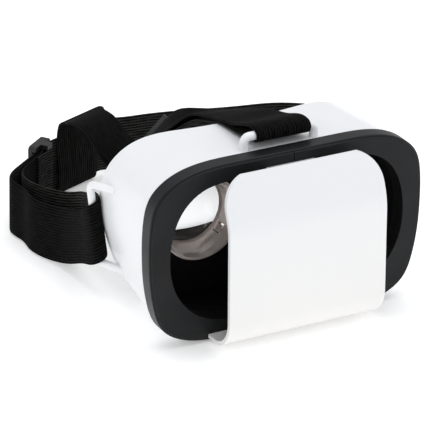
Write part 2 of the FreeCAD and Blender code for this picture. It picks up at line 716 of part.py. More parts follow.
def head_band():
    """One long webbing: left fold, left side, rear, right side, right fold."""
    left_bar, right_bar = lug_ends(-1), lug_ends(1)
    left_wrap = wrap(*left_bar, LUG_WRAP, V(1, 0, 0), -180)
    right_wrap = wrap(*right_bar, LUG_WRAP, V(0.8, -0.6, 0), -150)
    left_run = run_pairs(LEFT_RUN, LIFT)
    loop_run = run_pairs(LOOP_RUN, LOOP_LIFT)
    right_run = run_pairs(RIGHT_RUN, LIFT)
    pairs = smooth(edge_pair(LEFT_INNER) + left_wrap[:1])[:-1]
    pairs += left_wrap
    pairs += smooth(left_wrap[-1:] + edge_pair(LEFT_OUTER) + left_run[:1])[1:-1]
    pairs += left_run
    pairs += smooth([left_run[-1], loop_run[0]], 0.6)[1:-1]
    pairs += loop_run
    pairs += smooth(loop_run[-1:] + edge_pair(REAR) + right_run[:1])[1:-1]
    pairs += right_run
    pairs += smooth(right_run[-1:] + edge_pair(RIGHT_OUTER) + right_wrap[:1])[1:-1]
    pairs += right_wrap
    pairs += smooth(right_wrap[-1:] + edge_pair(RIGHT_INNER))[1:]
    return band(pairs)


# top strap: centre points as x, depth, z, with width directions
TOP_CENTRE = (-12.5, 125.5, 46.5)
TOP_ALONG = V(-0.06, 0.65, -0.758).normalize()
TOP_ACROSS = (0.83, 0.45, 0.32)
TOP_RUN = (-15.0, 12.5)
TOP_LOWER = [((-9.2, 107.5, 61.6), (0.86, 0.44, 0.24)), ((-5.6, 98.5, 66.4), (0.92, 0.38, 0.08)),
             ((-2.0, 89, 72.2), (0.96, 0.26, -0.02)), ((0.6, 79.5, 77.6), (0.99, 0.1, -0.06)),
             ((1.4, 67, 83.6), (1, 0, -0.04)), ((1.8, 58, 86.9), (1, 0, 0)), ((2, 50.5, 89.5), (1, 0, 0)),
             ((2.2, 36, 91.2), (1, 0, 0))]
TOP_UPPER = [((2.2, 33, 95.4), (1, 0, 0)), ((2, 50.5, 91.1), (1, 0, 0)), ((1.8, 58, 88.7), (1, 0, -0.02)),
             ((1.4, 67, 85.7), (1, 0, -0.08)), ((0.6, 79.7, 80.5), (0.98, 0.1, -0.12)),
             ((-1.8, 90, 75.1), (0.95, 0.28, -0.04)), ((-5.2, 99.5, 69.7), (0.91, 0.4, 0.1)),
             ((-9.6, 108.5, 64.7), (0.86, 0.44, 0.24))]
TAIL = [((-17.4, 141.5, 37.4), (0.87, 0.46, 0.06)), ((-19.9, 151, 42.2), (0.87, 0.46, -0.12)),
        ((-20.6, 163.6, 46.3), (0.89, 0.44, -0.13)), ((-20.7, 176.3, 44.4), (0.92, 0.38, -0.05))]
PANEL = (-20.7, 185.5)
LOOP_ACROSS = V(0.93, 0.37, 0).normalize()
FOLD_X = 2.2             # the fold's middle on the top loop's bar
# side view of the loop: distance behind the front layer, height
LOOP_SIDE = [(-3.4, 42.4), (-1.1, 41.4), (0, 39.2), (0, 20), (0, 3.2), (0.65, 1.5), (2.2, 0.8),
             (3.75, 1.5), (4.4, 3.2), (4.4, 14), (4.4, 26)]


def top_point(along, below=0.0):
    """Point near the top adjuster: x, depth, z."""
    down = TOP_ALONG.cross(V(*TOP_ACROSS)).normalize()
    place = V(*TOP_CENTRE) + TOP_ALONG * along + down * below
    return (place.x, place.y, place.z)


def top_strap():
    """One webbing: sewn end, under layer, fold over the loop, upper layer, tail and sewn loop."""
    bar = [V(FOLD_X + side * WEB_W / 2, at(LOOP_DEPTH), LOOP_Z) for side in (-1, 1)]
    fold = wrap(*bar, LOOP_WRAP, V(0, 0, -1), -180, 8)
    first = [(top_point(-STUB_END - 3.2, BAR_DROP), TOP_ACROSS)]
    run = flat_pairs([(top_point(along), TOP_ACROSS) for along in (TOP_RUN[0], 0, TOP_RUN[1])])
    deep = LOOP_ACROSS.cross(V(0, 0, 1)) * -1
    loop = []
    for back, z in LOOP_SIDE:
        place = V(PANEL[0], PANEL[1], z) + deep * back
        loop.append(((place.x, place.y, place.z), LOOP_ACROSS))
    pairs = smooth(flat_pairs(first + TOP_LOWER) + fold[:1])[:-1]
    pairs += fold
    pairs += smooth(fold[-1:] + flat_pairs(TOP_UPPER) + run[:1])[1:-1]
    pairs += run
    pairs += smooth(run[-1:] + flat_pairs(TAIL) + flat_pairs(loop[:1]))[1:-1]
    pairs += flat_pairs(loop)
    return band(pairs)


def placed(shape, centre, along, out):
    """Local shape (x along the webbing, y out of it) moved to its place in the row frame."""
    across = along.cross(out).normalize()
    shape.Placement = FreeCAD.Placement(FreeCAD.Matrix(
        along.x, out.x, across.x, centre.x, along.y, out.y, across.y, centre.y,
        along.z, out.z, across.z, centre.z, 0, 0, 0, 1))
    return shape


def tri_glide(centre, along, out):
    """Adjuster: two outer bars over the webbing and a round centre bar under it."""
    over, top = 1.0, 3.2
    half, reach = GLIDE_HALF, GLIDE_REACH
    inner = WEB_W / 2 + 0.6
    bars = [box(s * half if s < 0 else half - 3.0, -half + 3.0 if s < 0 else half, over, top, -reach, reach)
            for s in (-1, 1)]
    rails = []
    for s in (-1, 1):
        z0, z1 = (inner, reach) if s > 0 else (-reach, -inner)
        rails.append(box(-half, half, -1.2, top, z0, z1))
        rails.append(box(-2.6, 2.6, -BAR_DROP - CENTRE_BAR - 0.3, 0, z0, z1))
    centre_bar = rod(CENTRE_BAR, V(0, -BAR_DROP, -reach + 0.5), V(0, -BAR_DROP, reach - 0.5))
    frame = fuse_all(bars + rails)
    corners = [e for e in frame.Edges if abs(e.BoundBox.XLength) < 0.01 and abs(e.BoundBox.ZLength) < 0.01
               and e.BoundBox.YLength > 4 and abs(abs(e.BoundBox.ZMin) - reach) < 0.01
               and abs(abs(e.BoundBox.XMin) - half) < 0.01]
    frame = frame.makeFillet(2.0, corners)
    return placed(frame.fuse(centre_bar).removeSplitter(), centre, along, out)


def sewn_end(centre, along, out):
    """End of the webbing looped round the centre bar and sewn to itself."""
    inner, outer = CENTRE_BAR + 0.1, CENTRE_BAR + 0.1 + 1.2
    half = WEB_W / 2
    axis = (V(0, -BAR_DROP, -half), V(0, -BAR_DROP, half))
    loop = rod(outer, *axis).fuse(box(-STUB_END, 0, -BAR_DROP - 1.2, -BAR_DROP + 1.2, -half, half))
    loop = loop.cut(rod(inner, *axis)).removeSplitter()
    return placed(loop, centre, along, out)


def adjuster_places():
    """Centre, direction away from the lug or loop, and outward normal of each adjuster."""
    left_along = V(LEFT_RUN[1][0] - LEFT_RUN[0][0], LEFT_RUN[1][1] - LEFT_RUN[0][1], 0).normalize()
    right_along = V(RIGHT_RUN[0][0] - RIGHT_RUN[1][0], RIGHT_RUN[0][1] - RIGHT_RUN[1][1], 0).normalize()
    left = V(LEFT_RUN[0][0], at(LEFT_RUN[0][1]), LIFT + WEB_W / 2) + left_along * LEFT_ADJUSTER
    right = V(RIGHT_RUN[1][0], at(RIGHT_RUN[1][1]), LIFT + WEB_W / 2) + right_along * RIGHT_ADJUSTER
    top = V(TOP_CENTRE[0], at(TOP_CENTRE[1]), TOP_CENTRE[2])
    top_out = V(*TOP_ACROSS).normalize().cross(TOP_ALONG).normalize()
    return {"left": (left, left_along, V(-left_along.y, left_along.x, 0)),
            "right": (right, right_along, V(right_along.y, -right_along.x, 0)),
            "top": (top, TOP_ALONG, top_out)}


def main():
    os.makedirs(OUT, exist_ok=True)
    save("main_shell", main_shell())
    save("bezel_frame", bezel_frame())
    save("soft_rim", soft_rim())
    save("light_box", light_box())
    save("lens_board", lens_board())
    save("septum", septum())
    for name, sign in (("left", -1), ("right", 1)):
        save("lens_barrel_" + name, lens_barrel(sign))
        save("lens_" + name, lens(sign))
        save("lens_ring_" + name, lens_ring(sign))
        save("lower_arm_" + name, lower_arm(sign))
        save("lower_guide_" + name, lower_guide(sign))
        save("lower_spring_" + name, spring(sign * LOWER_ARM_X, 7.45, LOWER_POST + 2.4, LOWER_ANCHOR - 1.2))
    save("face_cushion", face_cushion())
    save("clamp_plate", clamp_plate())
    save("clamp_pad", clamp_pad())
    save("upper_arm", upper_arm())
    save("upper_guides", upper_guides())
    save("upper_anchor", upper_anchor())
    save("upper_spring", spring(0, 86.0, UPPER_POST + ARM_TAIL + 0.4, UPPER_ANCHOR - 1.2))
    save("arm_pins", arm_pins())
    save("anchor_pins", anchor_pins())
    save("arm_screws", arm_screws())
    save("corner_screws", corner_screws())
    save("board_screws", board_screws())
    save("head_band", head_band())
    save("top_strap", top_strap())
    for name, place in adjuster_places().items():
        save("tri_glide_" + name, tri_glide(*place))
        save("sewn_end_" + name, sewn_end(*place))


main()
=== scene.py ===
"""A VR headset that carries a phone: every piece's finished look, in metres, in the CAD frame."""
import bpy
import bmesh
import math
import numpy as np
from mathutils import Matrix, Vector


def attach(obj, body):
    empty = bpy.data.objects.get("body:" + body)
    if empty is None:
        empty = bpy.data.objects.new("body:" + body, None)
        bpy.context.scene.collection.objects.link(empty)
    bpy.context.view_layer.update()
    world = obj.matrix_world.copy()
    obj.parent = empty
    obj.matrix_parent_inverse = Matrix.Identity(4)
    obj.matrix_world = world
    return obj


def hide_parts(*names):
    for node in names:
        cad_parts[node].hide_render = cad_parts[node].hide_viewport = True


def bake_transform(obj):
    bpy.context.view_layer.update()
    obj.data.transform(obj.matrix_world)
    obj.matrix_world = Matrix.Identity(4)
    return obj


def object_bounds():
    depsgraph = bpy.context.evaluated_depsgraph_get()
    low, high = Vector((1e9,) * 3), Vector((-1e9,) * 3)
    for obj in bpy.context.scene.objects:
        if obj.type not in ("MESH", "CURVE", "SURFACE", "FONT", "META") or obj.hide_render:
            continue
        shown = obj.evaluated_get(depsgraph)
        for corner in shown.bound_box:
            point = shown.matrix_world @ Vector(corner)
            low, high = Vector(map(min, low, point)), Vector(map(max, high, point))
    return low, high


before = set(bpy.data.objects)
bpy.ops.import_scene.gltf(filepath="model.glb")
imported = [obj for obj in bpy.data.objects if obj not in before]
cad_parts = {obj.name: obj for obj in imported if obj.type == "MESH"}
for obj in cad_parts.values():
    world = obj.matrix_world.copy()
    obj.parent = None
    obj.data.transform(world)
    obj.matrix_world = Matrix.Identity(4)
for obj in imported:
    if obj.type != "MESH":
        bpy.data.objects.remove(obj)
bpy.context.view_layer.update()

MM = 0.001
FACE_Y = -5.0            # Y of the soft rim's front face, in mm, where depth is 0


# ---- camera, floor and light ----

AZIMUTH, ELEVATION, ROLL = (math.radians(a) for a in (-28.999, 25.289, 1.262))
DISTANCE = 1.7169
TARGET = Vector((-0.04274, -0.005, 0.06954))
SENSOR, LENS = 36.0, 301.9
SHIFT = (0.01105, -0.0111)
CLIP = (0.05, 60.0)


def make_camera():
    level = math.cos(ELEVATION)
    back = Vector((math.sin(AZIMUTH) * level, -math.cos(AZIMUTH) * level, math.sin(ELEVATION)))
    right = Vector((math.cos(AZIMUTH), math.sin(AZIMUTH), 0))
    up = back.cross(right)
    rolled_right = right * math.cos(ROLL) + up * math.sin(ROLL)
    rolled_up = up * math.cos(ROLL) - right * math.sin(ROLL)
    data = bpy.data.cameras.new("camera")
    data.sensor_width = SENSOR
    data.lens = LENS
    data.shift_x, data.shift_y = SHIFT
    data.clip_start, data.clip_end = CLIP
    camera = bpy.data.objects.new("camera", data)
    bpy.context.collection.objects.link(camera)
    place = Matrix((rolled_right, rolled_up, back)).transposed().to_4x4()
    place.translation = TARGET + back * DISTANCE
    camera.matrix_world = place
    bpy.context.scene.camera = camera


SKY_COLOUR, SKY_STRENGTH = (0.97, 0.985, 1.0, 1), 0.62
LIT_POINT = (-0.01, 0.08, 0.05)
FLOOR_HALF, FLOOR_GAP = 6.0, 0.0002
FLOOR_COLOUR, FLOOR_ROUGH, FLOOR_GLOW = (0.985, 0.985, 0.985), 0.8, 0.26


def area_light(name, place, size, power, colour=(1, 1, 1)):
    """Rectangular light that faces the object."""
    data = bpy.data.lights.new(name, "AREA")
    data.shape = "RECTANGLE"
    data.size, data.size_y = size
    data.energy = power
    data.color = colour
    light = bpy.data.objects.new(name, data)
    bpy.context.collection.objects.link(light)
    light.location = place
    light.rotation_euler = (Vector(LIT_POINT) - Vector(place)).to_track_quat("-Z", "Y").to_euler()


def make_studio():
    world = bpy.data.worlds.new("studio")
    world.use_nodes = True
    sky = world.node_tree.nodes["Background"]
    sky.inputs["Color"].default_value = SKY_COLOUR
    sky.inputs["Strength"].default_value = SKY_STRENGTH
    bpy.context.scene.world = world
    bpy.context.scene.view_settings.view_transform = "Standard"
    area_light("overhead", (0.1, 0.1, 1.3), size=(1.4, 1.4), power=9.0, colour=(0.98, 0.99, 1.0))
    area_light("front", (-0.5, -1.5, 0.75), size=(0.9, 0.7), power=2.6, colour=(1.0, 0.995, 0.98))
    area_light("side", (1.3, -0.5, 0.6), size=(0.7, 0.9), power=2.6)
    area_light("left", (-1.4, 0.1, 0.7), size=(0.8, 0.8), power=2.7)
    mesh = bpy.data.meshes.new("floor")
    corners = [(x * FLOOR_HALF, y * FLOOR_HALF, 0) for x, y in ((-1, -1), (1, -1), (1, 1), (-1, 1))]
    mesh.from_pydata(corners, [], [(0, 1, 2, 3)])
    floor = bpy.data.objects.new("floor", mesh)
    bpy.context.collection.objects.link(floor)
    floor.location.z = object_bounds()[0].z - FLOOR_GAP
    paint = new_material("floor_pale", FLOOR_COLOUR, FLOOR_ROUGH)
    shader_of(paint).inputs["Emission Color"].default_value = (1, 1, 1, 1)
    shader_of(paint).inputs["Emission Strength"].default_value = FLOOR_GLOW
    mesh.materials.append(paint)


# ---- materials ----

RIB_PITCH = 1.5          # of the webbing's lengthwise ribs, in mm
PICK_PITCH = 0.8         # of the weft picks that cross them
NOISE_LOW, NOISE_HIGH = 0.3, 0.7
CLOUD_SCALE, WANDER_SCALE = 60, 45
WHITE_GLOSS, WHITE_GRAIN, WHITE_DEPTH = (0.285, 0.305), 700, 0.000001
BLACK_DEPTH = 0.00003


def new_material(name, base, rough, metallic=0.0, ior=1.5):
    """Material with one base colour, roughness, metalness and index of refraction."""
    made = bpy.data.materials.new(name)
    made.use_nodes = True
    shader = made.node_tree.nodes["Principled BSDF"]
    shader.inputs["Base Color"].default_value = (*base, 1)
    shader.inputs["Roughness"].default_value = rough
    shader.inputs["Metallic"].default_value = metallic
    shader.inputs["IOR"].default_value = ior
    return made


def shader_of(made):
    return made.node_tree.nodes["Principled BSDF"]


def add(made, kind, **sockets):
    """New node with its sockets set; a value may be another node's output."""
    node = made.node_tree.nodes.new(kind)
    for name, value in sockets.items():
        connect(made, node, name.replace("_", " "), value)
    return node


def connect(made, node, name, value):
    """Give a socket a value or another node's output; a socket is named, or i and its number."""
    numbered = name[0] == "i" and name[1:].isdigit()
    socket = node.inputs[int(name[1:]) if numbered else name]
    if isinstance(value, bpy.types.NodeSocket):
        made.node_tree.links.new(value, socket)
    else:
        socket.default_value = value


def math_node(made, operation, first, second=0.0):
    """Result of a math node on one or two values."""
    node = add(made, "ShaderNodeMath", i0=first, i1=second)
    node.operation = operation
    return node.outputs[0]


def times(made, value, factor):
    return math_node(made, "MULTIPLY", value, factor)


def plus(made, first, second):
    return math_node(made, "ADD", first, second)


def noise_at(made, place, scale, detail):
    """Noise over a vector that is scaled first, along each of its axes."""
    sized = add(made, "ShaderNodeMapping", Vector=place)
    sized.inputs["Scale"].default_value = scale
    noise = add(made, "ShaderNodeTexNoise", Vector=sized.outputs["Vector"], Scale=1.0, Detail=detail)
    return noise.outputs["Fac"]


def object_noise(made, scale, detail):
    """Noise in the object's own metres."""
    place = add(made, "ShaderNodeTexCoord").outputs["Object"]
    return noise_at(made, place, (scale, scale, scale), detail)


def tint(made, amount, first, second):
    """Base colour that runs from first to second as amount goes from NOISE_LOW to NOISE_HIGH."""
    ramp = add(made, "ShaderNodeValToRGB", Fac=amount)
    ramp.color_ramp.elements[0].position = NOISE_LOW
    ramp.color_ramp.elements[0].color = (*first, 1)
    ramp.color_ramp.elements[1].position = NOISE_HIGH
    ramp.color_ramp.elements[1].color = (*second, 1)
    connect(made, shader_of(made), "Base Color", ramp.outputs["Color"])


def gloss(made, amount, low, high):
    """Roughness from low to high over the same range."""
    node = add(made, "ShaderNodeMapRange", Value=amount)
    ends = {"From Min": NOISE_LOW, "From Max": NOISE_HIGH, "To Min": low, "To Max": high}
    for name, value in ends.items():
        node.inputs[name].default_value = value
    connect(made, shader_of(made), "Roughness", node.outputs["Result"])


def relief(made, height, depth, strength=1.0):
    """Bump of the given depth in metres."""
    node = add(made, "ShaderNodeBump", Height=height)
    node.inputs["Strength"].default_value = strength
    node.inputs["Distance"].default_value = depth
    connect(made, shader_of(made), "Normal", node.outputs["Normal"])


def grained(name, base, rough, grain, depth, shine=0.5):
    """Moulded plastic before any clouding: roughness that wanders, and a fine spark texture."""
    made = new_material(name, base, rough[0])
    shader_of(made).inputs["Specular IOR Level"].default_value = shine
    gloss(made, object_noise(made, WANDER_SCALE, 1), *rough)
    relief(made, object_noise(made, grain, 2), depth)
    return made


def moulded(name, first, second, rough, grain, depth, shine=0.5):
    """Grained plastic with faint clouding from the first colour to the second."""
    made = grained(name, first, rough, grain, depth, shine)
    tint(made, object_noise(made, CLOUD_SCALE, 4), first, second)
    return made


def make_clamp_white():
    """White plate plastic; painted light tints it a touch cooler at the top than at the foot."""
    foot, top = (0.82, 0.808, 0.796), (0.79, 0.8, 0.812)
    rise, wander = 8.0, 0.3
    made = grained("clamp_white", (0.9, 0.9, 0.9), WHITE_GLOSS, WHITE_GRAIN, WHITE_DEPTH)
    place = add(made, "ShaderNodeTexCoord").outputs["Object"]
    height = add(made, "ShaderNodeSeparateXYZ", Vector=place).outputs["Z"]
    wandering = times(made, object_noise(made, 30, 2), wander)
    # painted light: the tint runs with height, warm at the foot to cool at the top as the light falls;
    # the noise adds random tone
    tint(made, plus(made, times(made, height, rise), wandering), foot, top)
    return made


def make_barrel_smoke():
    """Smoky translucent plastic."""
    made = moulded("barrel_smoke", (0.93, 0.81, 0.75), (0.98, 0.87, 0.81), rough=(0.1, 0.15),
                   grain=900, depth=0.000002)
    shader = shader_of(made)
    shader.inputs["Transmission Weight"].default_value = 0.36
    shader.inputs["IOR"].default_value = 1.49
    return made


def make_lens_clear():
    """Clear plastic with a polish that wanders a little."""
    made = new_material("lens_clear", (0.985, 0.99, 0.99), 0.0, ior=1.49)
    gloss(made, object_noise(made, 90, 3), 0.008, 0.03)
    shader_of(made).inputs["Transmission Weight"].default_value = 1.0
    return made


def make_webbing():
    """Black ribbed webbing: streaks worn pale along it, rib crests painted paler as highlight over
    painted shade in the grooves, crossed by weft picks.

    The weave attribute says where a point is across and along it, in mm, and how much painted highlight
    its face gets."""
    painted_rib_light_share, worn_share, pick_share = 0.24, 0.95, 0.05
    pick_height, fuzz_height, depth = 0.7, 1.6, 0.00006
    dark, pale = (0.0006, 0.0006, 0.0006), (0.0088, 0.0085, 0.0081)
    middle_gain, painted_sheen_gain = 2.7, 1.7
    streak_scale = (0.9, 0.14, 9.0)
    made = new_material("webbing", (0.01, 0.01, 0.0095), 0.78, ior=1.45)
    weave = add(made, "ShaderNodeAttribute")
    weave.attribute_name = "weave"
    place = weave.outputs["Vector"]
    parts = add(made, "ShaderNodeSeparateXYZ", Vector=place).outputs
    # painted light: rib crests are painted paler as highlight and the grooves between them darker as
    # shade
    painted_rib_light = math_node(made, "COSINE", times(made, parts["X"], 2 * math.pi / RIB_PITCH))
    pick = math_node(made, "SINE", times(made, parts["Y"], 2 * math.pi / PICK_PITCH))
    worn = noise_at(made, place, streak_scale, 3.0)
    fuzz = object_noise(made, 2600, 4)
    relief(made, plus(made, times(made, pick, pick_height), times(made, fuzz, fuzz_height)), depth, 0.8)
    share = plus(made, times(made, painted_rib_light, painted_rib_light_share), times(made, worn, worn_share))
    share = plus(made, share, times(made, pick, pick_share))
    tint(made, share, dark, pale)
    # painted highlight: the inner face is painted up to 4.4 times paler than the outer face
    painted_sheen_scale = plus(made, times(made, parts["Z"], painted_sheen_gain), middle_gain)
    shader = shader_of(made)
    colour = shader.inputs["Base Color"].links[0].from_socket
    paler = add(made, "ShaderNodeVectorMath", i0=colour)
    paler.operation = "SCALE"
    connect(made, paler, "Scale", painted_sheen_scale)
    connect(made, shader, "Base Color", paler.outputs["Vector"])
    gloss(made, fuzz, 0.68, 0.88)
    shader.inputs["Sheen Weight"].default_value = 0.006
    shader.inputs["Sheen Roughness"].default_value = 0.4
    shader.inputs["Specular IOR Level"].default_value = 0.03
    return made


def make_foam():
    """Open-cell foam: small pores, painted darker as shade in their pits, in a soft grey-black skin."""
    made = new_material("foam", (0.03, 0.03, 0.032), 0.95, ior=1.4)
    place = add(made, "ShaderNodeTexCoord").outputs["Object"]
    cells = add(made, "ShaderNodeTexVoronoi", Vector=place, Scale=1500.0)
    pores, soft = cells.outputs["Distance"], object_noise(made, 700, 4)
    relief(made, plus(made, pores, times(made, soft, 0.6)), 0.0003, 0.9)
    # painted shade: the pores' pits, which the bump sinks, are painted darker than the skin between them
    tint(made, plus(made, pores, 0.1), (0.006, 0.006, 0.0065), (0.024, 0.024, 0.026))
    shader_of(made).inputs["Sheen Weight"].default_value = 0.08
    shader_of(made).inputs["Specular IOR Level"].default_value = 0.2
    return made


def make_steel():
    """Nickel-plated wire and screws."""
    made = new_material("steel", (0.6, 0.59, 0.57), 0.3, metallic=1.0)
    tint(made, object_noise(made, 500, 4), (0.5, 0.49, 0.47), (0.7, 0.69, 0.67))
    gloss(made, object_noise(made, 900, 3), 0.2, 0.38)
    relief(made, object_noise(made, 3000, 2), 0.00001)
    return made


def make_thread():
    """Black sewing thread."""
    made = new_material("thread", (0.02, 0.02, 0.021), 0.55, ior=1.45)
    tint(made, object_noise(made, 2000, 3), (0.006, 0.006, 0.006), (0.013, 0.013, 0.0135))
    relief(made, object_noise(made, 5000, 2), 0.00005)
    shader_of(made).inputs["Specular IOR Level"].default_value = 0.25
    return made


def make_materials():
    return {
        "shell_white": moulded("shell_white", (0.80, 0.81, 0.825), (0.815, 0.822, 0.832),
                               WHITE_GLOSS, WHITE_GRAIN, WHITE_DEPTH),
        "clamp_white": make_clamp_white(),
        "bezel_black": moulded("bezel_black", (0.0055, 0.0058, 0.0064), (0.0085, 0.0089, 0.0098),
                               (0.34, 0.46), 1500, BLACK_DEPTH, shine=0.25),
        "rim_rubber": moulded("rim_rubber", (0.0065, 0.0068, 0.0076), (0.0095, 0.0099, 0.011),
                              (0.46, 0.58), 1300, BLACK_DEPTH, shine=0.22),
        "optics_black": moulded("optics_black", (0.004, 0.004, 0.0045), (0.007, 0.007, 0.0075),
                                (0.45, 0.6), 1400, BLACK_DEPTH, shine=0.15),
        "adjuster_black": moulded("adjuster_black", (0.008, 0.008, 0.009), (0.013, 0.013, 0.014),
                                  (0.28, 0.4), 1600, BLACK_DEPTH, shine=0.3),
        "barrel_smoke": make_barrel_smoke(),
        "lens_clear": make_lens_clear(),
        "webbing": make_webbing(),
        "foam": make_foam(),
        "steel": make_steel(),
        "thread": make_thread(),
    }


NODE_FINISH = {
    "shell_white": ["main_shell"],
    "clamp_white": ["clamp_plate", "upper_arm", "lower_arm_left", "lower_arm_right"],
    "bezel_black": ["bezel_frame"],
    "rim_rubber": ["soft_rim"],
    "optics_black": ["light_box", "lens_board", "septum", "upper_anchor", "upper_guides",
                     "lower_guide_left", "lower_guide_right"],
    "barrel_smoke": ["lens_barrel_left", "lens_barrel_right", "lens_ring_left", "lens_ring_right"],
    "lens_clear": ["lens_left", "lens_right"],
    "adjuster_black": ["tri_glide_left", "tri_glide_right", "tri_glide_top"],
    "steel": ["arm_pins", "anchor_pins", "arm_screws", "corner_screws", "board_screws"],
}


def finish_cad_nodes(paints):
    """Give each CAD node that stays its material."""
    for finish, nodes in NODE_FINISH.items():
        for name in nodes:
            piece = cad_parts[name]
            piece.data.materials.clear()
            piece.data.materials.append(paints[finish])


# ---- shared mesh helpers ----

def new_piece(name, points, faces, paint):
    """Smooth-shaded mesh object from points in metres."""
    mesh = bpy.data.meshes.new(name)
    mesh.from_pydata([tuple(p) for p in points], [], faces)
    mesh.polygons.foreach_set("use_smooth", [True] * len(mesh.polygons))
    mesh.materials.append(paint)
    mesh.update()
    piece = bpy.data.objects.new(name, mesh)
    bpy.context.collection.objects.link(piece)
    return piece


def at(depth):
    """Y of a depth behind the soft rim's front face, in mm."""
    return FACE_Y + depth


def unit(vector):
    return np.asarray(vector, float) / np.linalg.norm(vector)


def reaches(points):
    """How far along the line through the points each one is."""
    return np.concatenate([[0], np.cumsum(np.linalg.norm(np.diff(points, axis=0), axis=1))])


def heading(points, i):
    """Direction of the line at point i, from its neighbours."""
    return unit(points[min(i + 1, len(points) - 1)] - points[max(i - 1, 0)])


def spline(points, reach, places):
    """Natural cubic curve through points at the given reaches, read at places."""
    count = len(points)
    gap = np.diff(reach)
    system = np.eye(count)
    right = np.zeros((count, 3))
    for i in range(1, count - 1):
        system[i, i - 1:i + 2] = (gap[i - 1], 2 * (gap[i - 1] + gap[i]), gap[i])
        ahead, behind = points[i + 1] - points[i], points[i] - points[i - 1]
        right[i] = 6 * (ahead / gap[i] - behind / gap[i - 1])
    bend = np.linalg.solve(system, right)
    found = []
    for place in places:
        i = min(max(int(np.searchsorted(reach, place)) - 1, 0), count - 2)
        before, after, h = place - reach[i], reach[i + 1] - place, gap[i]
        found.append((bend[i] * after ** 3 + bend[i + 1] * before ** 3) / (6 * h)
                     + (points[i] / h - bend[i] * h / 6) * after
                     + (points[i + 1] / h - bend[i + 1] * h / 6) * before)
    return np.array(found)


# ---- webbing ----

WEB_W = 30.0
WEB_T = 1.2
RIB_STEPS = 4            # points across each rib
EDGE_R = 0.7             # rounding of the selvedge
INNER_RIB, OUTER_RIB = 0.3, 0.09     # depths of the grooves between ribs
WRAP_STEPS = 10
SLIP_POWER = 1.5


def smooth(pairs, lead=0, tail=0, step=1.5):
    """Edge pairs along smooth curves; the first lead and last tail pairs only steer the ends."""
    pairs = np.array(pairs, float)
    reach = reaches(pairs.mean(axis=1))
    first, last = reach[lead], reach[len(reach) - 1 - tail]
    places = np.linspace(first, last, max(2, int((last - first) / step)) + 1)
    return list(np.stack([spline(pairs[:, k], reach, places) for k in (0, 1)], axis=1))


def wrap(low, high, radius, first, sweep, slip=0.0):
    """Edge pairs round a bar through low and high, from direction first through sweep degrees.

    The webbing slides down the bar by slip on the way, slowly at first."""
    low, high = Vector(low), Vector(high)
    axis = (high - low).normalized()
    out = Vector(first)
    out = (out - axis * out.dot(axis)).normalized() * radius
    pairs = []
    for i in range(WRAP_STEPS + 1):
        turn = Matrix.Rotation(math.radians(sweep * i / WRAP_STEPS), 3, axis)
        turned = turn @ out - axis * slip * (i / WRAP_STEPS) ** SLIP_POWER
        pairs.append(np.array([low + turned, high + turned]))
    return pairs


def standing(places):
    """Edge pairs of an upright band through places of x, depth, z and lean."""
    pairs = []
    for x, depth, z, lean in places:
        rise = math.sqrt(WEB_W ** 2 - lean ** 2)
        pairs.append(np.array([(x, at(depth), z), (x + lean, at(depth), z + rise)]))
    return pairs


def crossing(places):
    """Edge pairs from centre points x, depth, z and width directions."""
    pairs = []
    for (x, depth, z), across in places:
        centre, reach = np.array((x, at(depth), z)), unit(across) * WEB_W / 2
        pairs.append(np.array([centre - reach, centre + reach]))
    return pairs


def straight(pairs, step=2.0):
    """The same run with more sections."""
    length = np.linalg.norm(pairs[-1].mean(axis=0) - pairs[0].mean(axis=0))
    count = max(2, int(length / step))
    return [pairs[0] + (pairs[-1] - pairs[0]) * i / count for i in range(count + 1)]


def section():
    """One face of the webbing's outline, across its width, point by point.

    It gives the shares of the width, of the half thickness and of the rib's relief, and mm across."""
    count = int(WEB_W / RIB_PITCH) * RIB_STEPS
    across = np.linspace(-WEB_W / 2, WEB_W / 2, count + 1)
    edge = np.clip((np.abs(across) - (WEB_W / 2 - EDGE_R)) / EDGE_R, 0, 1)
    height = np.sqrt(np.clip(1 - edge ** 2, 0.02, 1))
    rib = -0.5 * (1 - np.cos(2 * math.pi * across / RIB_PITCH)) * (1 - edge)
    return across / WEB_W, height, rib, across


def webbing(name, pairs, paint, body=None, inner_rib=INNER_RIB):
    """Ribbed strap through edge pairs, in mm; the mesh is in metres.

    Its weave attribute holds mm across, mm along, and painted sheen: -1 on the outer face, and up to 1
    on the inner face, with the depth of its ribs; the inner face is painted paler as highlight."""
    # painted highlight share of each face: 1 on a fully ribbed inner face, -1 on the outer face
    inner_painted_sheen, outer_painted_sheen = 2 * inner_rib / INNER_RIB - 1, -1.0
    pairs = np.array(pairs, float)
    middle = pairs.mean(axis=1)
    count = len(pairs)
    share, height, rib, across = section()
    reach = reaches(middle)
    points, weave = [], []
    for i in range(count):
        width = pairs[i, 1] - pairs[i, 0]
        out = unit(np.cross(heading(middle, i), width))
        inner = height * WEB_T / 2 + rib * inner_rib
        outer = height * WEB_T / 2 + rib * OUTER_RIB
        top = middle[i] + share[:, None] * width + inner[:, None] * out
        bottom = (middle[i] + share[:, None] * width - outer[:, None] * out)[::-1]
        points.append(np.concatenate([top, bottom]))
        for spots, painted_sheen in ((across, inner_painted_sheen), (across[::-1], outer_painted_sheen)):
            weave.append(np.column_stack([spots, np.full_like(spots, reach[i]),
                                          np.full_like(spots, painted_sheen)]))
    loop = len(points[0])
    faces = []
    for i in range(count - 1):
        for j in range(loop):
            k = (j + 1) % loop
            faces.append((i * loop + j, i * loop + k, (i + 1) * loop + k, (i + 1) * loop + j))
    half = loop // 2
    for first, flip in ((0, False), ((count - 1) * loop, True)):
        for j in range(half - 1):
            quad = (first + j, first + loop - 1 - j, first + loop - 2 - j, first + j + 1)
            faces.append(quad[::-1] if flip else quad)
    piece = new_piece(name, np.concatenate(points) * MM, faces, paint)
    layer = piece.data.attributes.new("weave", "FLOAT_VECTOR", "POINT")
    layer.data.foreach_set("vector", np.concatenate(weave).astype(np.float32).ravel())
    if body:
        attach(piece, body)
    return piece
